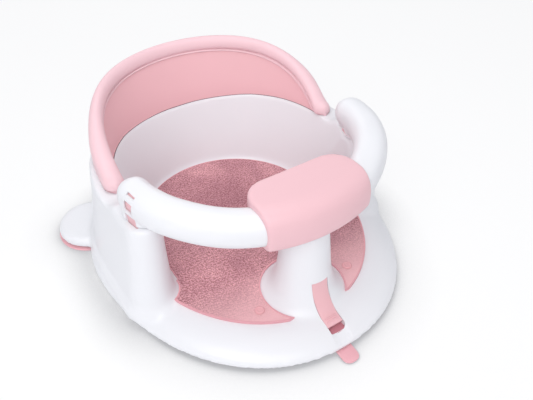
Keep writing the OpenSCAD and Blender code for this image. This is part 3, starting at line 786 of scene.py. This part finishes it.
# %% [markdown]
# ## The latches
# Each latch is a pink leaf: a tail in the shoulder's pocket, a push pad in the window and
# a hooked top. Its outline is pushed out to its width, and a Bevel rounds every edge. A
# pink strip, which lifts with the bar, fills the slit on the seat's side.

# %% Two latches
LEAF = [(14.4, 110), (14.4, 147), (12, 152.6), (8, 156), (5.8, 154), (7.8, 152),
        (11.2, 146), (11.2, 110)]
for side, name, body in ((-1, "latch_left", "left_latch"), (1, "latch_right", "right_latch")):
    leaf = prism(name + "_leaf", [mm(x, LATCH_W / 2, z) for x, z in LEAF], mm(0, -LATCH_W, 0))
    step = block("step", (13.6, -4.6, 142), (15.2, 4.6, 149.5))
    applied(step, "BEVEL", width=0.6 * MM, segments=2)
    boolean(leaf, [step], "UNION")
    applied(leaf, "BEVEL", width=0.35 * MM, segments=2, limit_method="ANGLE")
    at_latch(leaf, side)
    shade(leaf, 40)
    strip = at_latch(block(name + "_strip", (-14, -6.9, 127.1), (-12.6, 6.9, 129.3)), side)
    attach(strip, "bar")
    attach(leaf, body)
    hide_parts(name)
    print(name, triangles(leaf), "triangles")

# %% [markdown]
# ## The bar's pad
# The pad is a foam piece with a soft skin. Seen from above it is a D: straight towards the
# child with round corners, and curved in front with the bar. Its front face slopes down
# from a soft ridge. It is turned round the bend's centre, cut to the D, and melted with
# many rounds of smoothing, so that it looks stuffed.

# %% The pad
BEND_Y = 14.7  # centre of the bend that the pad's front follows
PAD_BACK = -84  # its straight edge towards the child
CORNER_R = 24
PAD_SECTION = [(70, 123), (100, 121.6), (154, 121.6), (158.6, 122.6), (161.4, 125.4),
               (162.2, 130), (162.3, 138), (161.7, 146), (159.4, 153), (155, 158.8),
               (149, 162), (140, 163.2), (120, 162.8), (70, 161.6)]


def d_prism():
    """The D seen from above: two round corners, and a front past the pad's curve."""
    corners = [(58, -170), (-58, -170)]
    for x, start, end in ((-34, math.pi, math.pi / 2), (34, math.pi / 2, 0)):
        corners += [(x + CORNER_R * math.cos(a), PAD_BACK - CORNER_R + CORNER_R * math.sin(a))
                    for a in spread(start, end, 10)]
    return prism("d_shape", [mm(x, y, 90) for x, y in corners], mm(0, 0, 110))


pad_ring = draw_line("pad_ring", [mm(r, BEND_Y, z) for r, z in PAD_SECTION + PAD_SECTION[:1]])
bpy.ops.mesh.spin(steps=160, angle=2 * math.pi, center=mm(0, BEND_Y, 0), axis=(0, 0, 1))
close_up(pad_ring)
boolean(pad_ring, [d_prism()], "INTERSECT")
boolean(pad_ring, [block("behind", (-80, -60, 80), (80, 200, 220))])
pad = melt("soft_bar_pad", [pad_ring], voxel=1.8, rounds=14)
boolean(pad, [tube("tube_room", BAR_R + 0.2)])
shade(pad, 50)
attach(pad, "bar")
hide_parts("bar_pad")
print("pad:", triangles(pad), "triangles")

# %% [markdown]
# ## The mat
# The mat is a foam sheet with a woven face. Its plan is the round inside of the seat and,
# in front of the pillars, an ellipse, less a scallop round each pillar and the pommel. The
# same plan, drawn a little smaller, sinks the woven face below a plain border.

# %% The mat's plan
MAT_HALF, MAT_REACH, MAT_Y = 132.7, 157.8, 7.8  # the ellipse in front
MAT_REAR_R = 104.8
PILLAR_ROOM = 25.8
POMMEL_ROOM = 44.4
HORN_Y = -143.5  # how far the horns beside the pommel reach forwards
BORDER = 1.4
MAT_TOP = 27
SINK_Z = 26.6  # the woven face, below the border
PAST_MAT = 300


def disc(name, x, y, rx, ry, low, high):
    """A round or oval plate between two heights."""
    clear_selection()
    bpy.ops.mesh.primitive_cylinder_add(vertices=160, radius=1, depth=(high - low) * MM,
                                        location=mm(x, y, (low + high) / 2))
    obj = bpy.context.object
    obj.name = obj.data.name = name
    obj.scale = (rx * MM, ry * MM, 1)
    bpy.ops.object.transform_apply(location=True, rotation=True, scale=True)
    return obj


def mat_form(name, inset, low, high):
    """The mat's plan, each edge moved inwards, between two heights."""
    below, above = low - 5, high + 5
    front = disc(name, 0, MAT_Y, MAT_HALF - inset, MAT_REACH - inset, low, high)
    boolean(front, [block("rear", (-PAST_MAT, PILLAR_Y, below), (PAST_MAT, PAST_MAT, above))])
    rear = MAT_REAR_R - 0.3 * inset
    round_back = disc("round", 0, SEAT_Y, rear, rear, low, high)
    band = block("band", (-rear, PILLAR_Y - 6, low), (rear, SEAT_Y, high))
    boolean(front, [round_back, band], "UNION")
    scallop_r, pommel_r = PILLAR_ROOM + inset, POMMEL_ROOM + inset
    for side in (-1, 1):
        x = side * 36
        boolean(front, [block("horn", (x - 20, -200, below), (x + 20, HORN_Y + inset, above))])
        x = side * WALL_R
        boolean(front, [disc("scallop", x, PILLAR_Y, scallop_r, scallop_r, below, above),
                        block("beside", (x - 13, -56, below), (x + 13, -28, above))])
    return boolean(front, [disc("pommel_room", 0, POMMEL_Y, pommel_r, pommel_r, below, above)])


mat = mat_form("woven_mat", 0, FLOOR_Z, MAT_TOP)
boolean(mat, [mat_form("sink", BORDER, SINK_Z, 30)])
edit(mat)
bpy.ops.mesh.dissolve_limited(angle_limit=0.01)
bpy.ops.object.mode_set(mode="OBJECT")
applied(mat, "BEVEL", width=0.3 * MM, segments=2, limit_method="ANGLE")
shade(mat, 40)
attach(mat, "seat")
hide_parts("seat_mat")
print("mat:", triangles(mat), "triangles")

# %% [markdown]
# ## Press studs
# Two flat studs hold the mat's horns down. They are turned from one profile, whose face is
# a little dished.

# %% The studs
STUD_AT = (56.3, -117.2)
STUD = [(0, 23), (2.4, 23), (2.4, 26.9), (4.9, 26.9), (5.1, 27.3), (4.9, 27.8), (4.1, 28.3),
        (3.4, 28.4), (3.1, 28.1), (1.5, 28.2), (0, 28.3)]
for side, name in ((-1, "mat_snap_left"), (1, "mat_snap_right")):
    stud = shade(lathe(name + "_stud", STUD, (side * STUD_AT[0], STUD_AT[1]), 40), 50)
    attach(stud, "seat")
    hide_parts(name)

# %% [markdown]
# ## The suction cups
# The cups are soft rubber bells. Only their lips show, and in front a tab to pull the cup
# loose. The bells are turned from one profile, and the tab is an outline pushed up.

# %% The cups
def cup_profile(r, stem_top):
    """The bell's hollow, its lip and its outside, up to the top of its stem."""
    return [(0, 6), (r * 0.3, 5.4), (r * 0.62, 3.4), (r * 0.86, 0.9), (r - 2.5, 0),
            (r - 0.5, 0), (r, 0.5), (r, 1.2), (r - 0.5, 1.7), (r * 0.93, 2), (r * 0.86, 2.6),
            (r * 0.6, 5.4), (r * 0.34, 7.4), (7.7, 7.8), (6.5, 8.6), (6.5, stem_top - 1),
            (5.5, stem_top), (0, stem_top)]


for side, name in ((-1, "suction_cup_rear_left"), (1, "suction_cup_rear_right")):
    bell = shade(lathe(name + "_bell", cup_profile(38, 12.7), (side * EAR[0], EAR[1]), 96), 40)
    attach(bell, "seat")
    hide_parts(name)

# %% The front cup and its pull tab
CUP_Y = -128
TAB_Z = 0.4
TAB_HALF, TAB_TIP = 9.2, 10
BLUNT = 0.75  # 1 is a round tip, and less is squarer

front_bell = lathe("front_bell", cup_profile(32, 19), (0, CUP_Y), 96)
tab_tip = [mm(math.copysign(TAB_HALF * abs(math.cos(a)) ** BLUNT, math.cos(a)) - 2,
              -194 - TAB_TIP * math.sin(a) ** BLUNT, TAB_Z)
           for a in spread(0, math.pi, 20)[1:-1]]
tab_root = [mm(x, CUP_Y - 26, TAB_Z) for x in (9, -9)]
tab = prism("pull_tab", tab_root[:1] + tab_tip + tab_root[1:], mm(0, 0, 2))
applied(tab, "BEVEL", width=0.6 * MM, segments=3, limit_method="ANGLE")
boolean(tab, [disc("cup_room", 0, CUP_Y, 29.5, 29.5, -5, 20)])
pick(front_bell, tab)
bpy.ops.object.join()
shade(front_bell, 40)
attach(front_bell, "seat")
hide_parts("suction_cup_front")

# %% [markdown]
# ## The front lever
# The lever fills its slot: a curved leaf that follows the pommel's foot and turns about the
# pin at its top, with two fine ribs for a fingertip near its lower end. In front of its tip
# the slot stays open down to a floor coloured deep rose, which is painted shade for the recess.

# %% The lever and the recess in front of it
LEVER_W = 18.6
RIBS = [(NECK_R + 19.6, 23.3), (NECK_R + 23.2, 22)]
RECESS = [(14, 10), (35.9, 10), (35.9, 15.5), (29, 14), (14, 14)]

leaf_side = lever_face(0.4) + list(reversed(lever_face(4.4)))
lever = side_prism("lever_leaf", leaf_side, LEVER_W)
boolean(lever, [
    side_prism("rib", [(d, z), (d + 0.9, z + 0.9), (d + 1.8, z - 0.6), (d + 0.8, z - 2)], 13)
    for d, z in RIBS], "UNION")
applied(lever, "BEVEL", width=0.5 * MM, segments=2, limit_method="ANGLE", angle_limit=0.9)
# The recess floor wears a deep rose that is painted shade.
recess = side_prism("recess_floor", [(NECK_R + d, z) for d, z in RECESS], SLOT_W)
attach(recess, "seat")
shade(lever, 40)
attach(lever, "lever")
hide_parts("front_lever")
print("lever:", triangles(lever), "triangles")

# %% [markdown]
# ## Finishes
# Shader maths is easier to read as sums than as chains of nodes. A small class wraps a
# socket, so that a sum with it adds a Math node, and 1 - mask works as well as mask - 1.

# %% Sockets that do sums
class Value:
    """A socket of a finish: each sum with it adds a Math node."""

    def __init__(self, finish, socket):
        self.finish, self.socket = finish, socket

    def sum(self, operation, a, b):
        return self.finish.node("ShaderNodeMath", {"operation": operation}, {0: a, 1: b})

    def __add__(self, other):
        return self.sum("ADD", self, other)

    def __mul__(self, other):
        return self.sum("MULTIPLY", self, other)

    def __sub__(self, other):
        return self.sum("SUBTRACT", self, other)

    def __rsub__(self, other):
        return self.sum("SUBTRACT", other, self)

    __radd__, __rmul__ = __add__, __mul__


class Finish:
    """A material with a Principled shader, whose nodes are added by name."""

    def __init__(self, name, colour, roughness, **constants):
        self.material = bpy.data.materials.new(name)
        self.material.use_nodes = True
        self.tree = self.material.node_tree
        self.shader = self.tree.nodes["Principled BSDF"]
        self.shader.inputs["Base Color"].default_value = (*colour, 1)
        self.shader.inputs["Roughness"].default_value = roughness
        for key, value in constants.items():
            self.shader.inputs[key.replace("_", " ")].default_value = value
        self.place = self.node("ShaderNodeTexCoord", output="Object")

    def node(self, kind, settings=None, inputs=None, output=0):
        n = self.tree.nodes.new(kind)
        for key, value in (settings or {}).items():
            setattr(n, key, value)
        for key, value in (inputs or {}).items():
            self.feed(n.inputs[key], value)
        return Value(self, n.outputs[output])

    def feed(self, socket, value):
        if isinstance(value, Value):
            self.tree.links.new(value.socket, socket)
        else:
            socket.default_value = value

    def noise(self, scale, detail=2):
        return self.node("ShaderNodeTexNoise", inputs={
            "Vector": self.place, "Scale": scale, "Detail": detail})

    def tint(self, factor, a, b, blend="MIX"):
        """A colour between a and b, each a colour or a socket."""
        a, b = (c if isinstance(c, Value) else (*c, 1) for c in (a, b))
        return self.node("ShaderNodeMix", {"data_type": "RGBA", "blend_type": blend},
                         {0: factor, 6: a, 7: b}, output=2)

    def bump(self, height, strength, distance):
        normal = self.node("ShaderNodeBump", inputs={
            "Height": height, "Strength": strength, "Distance": distance})
        self.feed(self.shader.inputs["Normal"], normal)


def linear(r, g, b):
    """A colour as the eye's 0 to 255 values, made linear."""
    return tuple(((c / 255 + 0.055) / 1.055) ** 2.4 for c in (r, g, b))


# %% [markdown]
# The white is a satin plastic, faintly cool. Its gloss wanders a little, as it does on any
# big moulding, and a very fine grain breaks the reflections. The pinks are made in the same
# way: the backrest and its panel are softer to the touch, the pad is a smooth skin on foam,
# and the small parts are glossier.

# %% Moulded finishes
def moulded(name, colour, roughness, grain=0.00003, drift=0.04, **constants):
    """A plastic or rubber whose colour and gloss wander, with a grain of a given depth."""
    f = Finish(name, colour, roughness, **constants)
    cloud = f.noise(9, 3)
    fine = f.noise(1400, 2)
    darker = tuple(c * (1 - drift) for c in colour)
    f.feed(f.shader.inputs["Base Color"], f.tint(cloud, colour, darker))
    f.feed(f.shader.inputs["Roughness"], cloud * 0.08 + fine * 0.05 + (roughness - 0.065))
    f.bump(fine, 0.25, grain)
    return f.material


white = moulded("white_satin", linear(238, 238, 241), 0.34, drift=0.02)
rim_pink = moulded("pink_soft_touch", linear(243, 204, 210), 0.5, grain=0.00005,
                   Sheen_Weight=0.1)
panel_pink = moulded("pink_panel_skin", linear(244, 193, 198), 0.6, grain=0.00008)
pad_pink = moulded("pink_pad_skin", linear(240, 195, 201), 0.42, grain=0.00004)
part_pink = moulded("pink_part", linear(241, 190, 195), 0.36)
stud_rose = moulded("stud_rose", linear(238, 176, 181), 0.45)
# Painted shade: a dark finish that stands in for the shadow in the gap under the panel.
painted_gap_shade = moulded("painted_gap_shade", linear(104, 70, 80), 0.7)
# Painted shade: the pink of the small parts made darker, as if in the recess's shadow.
painted_shade_rose = moulded("recess_painted_shade", linear(206, 136, 147), 0.5)
rubber_pink = moulded("pink_rubber", linear(240, 180, 188), 0.45)
steel = moulded("pin_steel", linear(200, 202, 206), 0.3, Metallic=1.0)

# %% [markdown]
# The mat's face is a fine speckled weave in pinks. Two sets of waves make warp and weft, a
# noise makes the yarn uneven, and the same height drives the bump. Wide patches are darker at
# random, and the front is painted paler: painted light, as if more light fell on it. A Mapping
# node turns the weave on the mat.

# %% Woven foam
WEAVE_TURN = -0.74


def woven(name):
    f = Finish(name, linear(206, 142, 150), 0.85, Sheen_Weight=0.2)
    turned = f.node("ShaderNodeMapping", inputs={
        "Vector": f.place, "Rotation": (0, 0, WEAVE_TURN)})
    waves = {"Vector": turned, "Scale": 160, "Distortion": 5, "Detail": 2, "Detail Scale": 3}
    warp = f.node("ShaderNodeTexWave", {"bands_direction": "X"}, waves)
    weft = f.node("ShaderNodeTexWave", {"bands_direction": "Y"}, waves)
    yarn = f.noise(560, 3)
    patch = f.noise(18, 4)
    cloth = warp * 0.7 + weft * 0.2 + yarn * 2.4 - 1.15
    tone = f.tint(cloth, linear(162, 94, 102), linear(248, 192, 198))
    worn = f.tint(1, tone, f.tint(patch * 3 - 1, (1, 1, 1), (0.66, 0.58, 0.62)), "MULTIPLY")
    along = f.node("ShaderNodeSeparateXYZ", inputs={"Vector": f.place}, output=1)
    # Painted light: the weave turns paler towards the mat's front.
    painted_front_light = along * -15 - 0.95
    f.feed(f.shader.inputs["Base Color"], f.tint(painted_front_light, worn, linear(240, 188, 192)))
    f.bump(cloth, 0.6, 0.0003)
    return f.material


weave = woven("woven_rose")
mat_edge = moulded("mat_border", linear(232, 170, 178), 0.7, grain=0.0001)

# %% [markdown]
# Each piece puts its finish on. The panel and the mat wear more than one, face by face. The
# pin and the screws are solids of the pack that keep their shape and get a steel.

# %% Finishes on their pieces
def wear(obj, *materials):
    """Puts materials on an object, and leaves each face its slot."""
    slots = [p.material_index for p in obj.data.polygons]
    obj.data.materials.clear()
    for m in materials:
        obj.data.materials.append(m)
    for p, index in zip(obj.data.polygons, slots):
        p.material_index = index if index < len(materials) else 0


wear(shell, white)
wear(bar, white)
wear(backrest, rim_pink)
wear(panel, panel_pink, rim_pink, painted_gap_shade)
wear(pad, pad_pink)
wear(lever, part_pink)
wear(recess, painted_shade_rose)
SMALL_PIECES = [
    (part_pink, ("latch_left_leaf", "latch_right_leaf", "latch_left_strip",
                 "latch_right_strip")),
    (stud_rose, ("mat_snap_left_stud", "mat_snap_right_stud")),
    (rubber_pink, ("suction_cup_rear_left_bell", "suction_cup_rear_right_bell",
                   "front_bell"))]
for material, names in SMALL_PIECES:
    for name in names:
        wear(bpy.data.objects[name], material)
for name in ("lever_pin", "backrest_screws"):
    wear(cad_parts[name], steel)
wear(mat, mat_edge, weave)
for p in mat.data.polygons:
    p.material_index = int(p.normal.z > 0.99 and p.center.z < (SINK_Z + 0.1) * MM)
print("woven faces:", sum(p.material_index for p in mat.data.polygons))

# %% [markdown]
# ## Floor, light and camera
# A pale floor, a soft sky and six soft lamps, like a product studio. The floor is nearly
# white to the camera, and a soft painted shadow darkens its glow where the seat stands on it.

# %% The floor
SHADE_REACH = 0.05  # metres
PAINTED_SHADOW_NEAR_SEAT, OPEN_FLOOR = (0.42, 0.42, 0.44), (0.995, 0.995, 0.998)

clear_selection()
bpy.ops.mesh.primitive_plane_add(size=8)
floor = bpy.context.object
floor.name = "floor"
ground = Finish("pale_floor", (0.9, 0.9, 0.91), 0.9)
path = ground.node("ShaderNodeLightPath", output="Is Camera Ray")
contact = ground.node("ShaderNodeAmbientOcclusion", {"samples": 12},
                      {"Distance": SHADE_REACH}, output=1)
# Painted shadow: the glow turns darker where occlusion finds the seat close by.
glow = ground.node("ShaderNodeEmission", inputs={
    "Color": ground.tint(contact * 2.2 - 1.2, PAINTED_SHADOW_NEAR_SEAT, OPEN_FLOOR), "Strength": 1.03})
mixed = ground.node("ShaderNodeMixShader", inputs={
    0: path * 0.74, 1: Value(ground, ground.shader.outputs[0]), 2: glow})
ground.feed(ground.tree.nodes["Material Output"].inputs["Surface"], mixed)
wear(floor, ground.material)

# %% [markdown]
# The sky lights the object evenly from all sides, and is brighter where the camera sees it
# than where it only gives light. The lamps are big discs, so that no shadow has a hard
# edge: the key and the front lamp come from the left, the rear one parts the object from
# the floor, and a small one over the seat lifts its inside.

# %% The sky
SKY_LIGHT = 0.53
SKY_SEEN = 0.42  # on top of its light

world = bpy.data.worlds.new("studio")
bpy.context.scene.world = world
world.use_nodes = True
sky = world.node_tree
sky.nodes["Background"].inputs["Color"].default_value = (0.93, 0.95, 1, 1)
seen = sky.nodes.new("ShaderNodeLightPath")
strength = sky.nodes.new("ShaderNodeMath")
strength.operation = "MULTIPLY_ADD"
strength.inputs[1].default_value, strength.inputs[2].default_value = SKY_SEEN, SKY_LIGHT
sky.links.new(seen.outputs["Is Camera Ray"], strength.inputs[0])
sky.links.new(strength.outputs[0], sky.nodes["Background"].inputs["Strength"])


# %% The lamps
def lamp(name, place, target, size, power):
    """A round lamp in metres and watts, turned to its target and unseen by the camera."""
    data = bpy.data.lights.new(name, "AREA")
    data.shape, data.size, data.energy = "DISK", size, power
    obj = bpy.data.objects.new(name, data)
    bpy.context.collection.objects.link(obj)
    obj.location = Vector(place)
    obj.rotation_euler = (Vector(target) - obj.location).to_track_quat("-Z", "Y").to_euler()
    obj.visible_camera = False


lamp("key", (-1.1, -0.7, 1.35), (0, 0, 0.08), 1.0, 8.8)
lamp("front", (-0.6, -1.2, 1.2), (0, 0.05, 0.1), 1.2, 7.2)
lamp("fill", (1.2, -0.6, 0.9), (0, 0, 0.08), 1.2, 1)
lamp("top", (0, 0.1, 1.7), (0, 0, 0.05), 1.4, 3.4)
lamp("rear", (0.5, 1.6, 0.9), (0, 0, 0.08), 1.2, 3)
lamp("inside", (-0.03, 0.03, 0.58), (0.02, 0.08, 0.05), 0.3, 0.3)

# %% [markdown]
# The camera stands where the photographer stood: in front, to the left and well above.

# %% The camera
camera = bpy.data.objects.new("camera", bpy.data.cameras.new("camera"))
bpy.context.collection.objects.link(camera)
eye, target = mm(-268.27, -448.61, 503.28), mm(0, -44.6, 94.57)
camera.location = eye
camera.rotation_euler = (target - eye).to_track_quat("-Z", "Y").to_euler()
camera.data.lens = 40.91
camera.data.sensor_width = 36
bpy.context.scene.camera = camera
bpy.context.scene.view_settings.view_transform = "Standard"
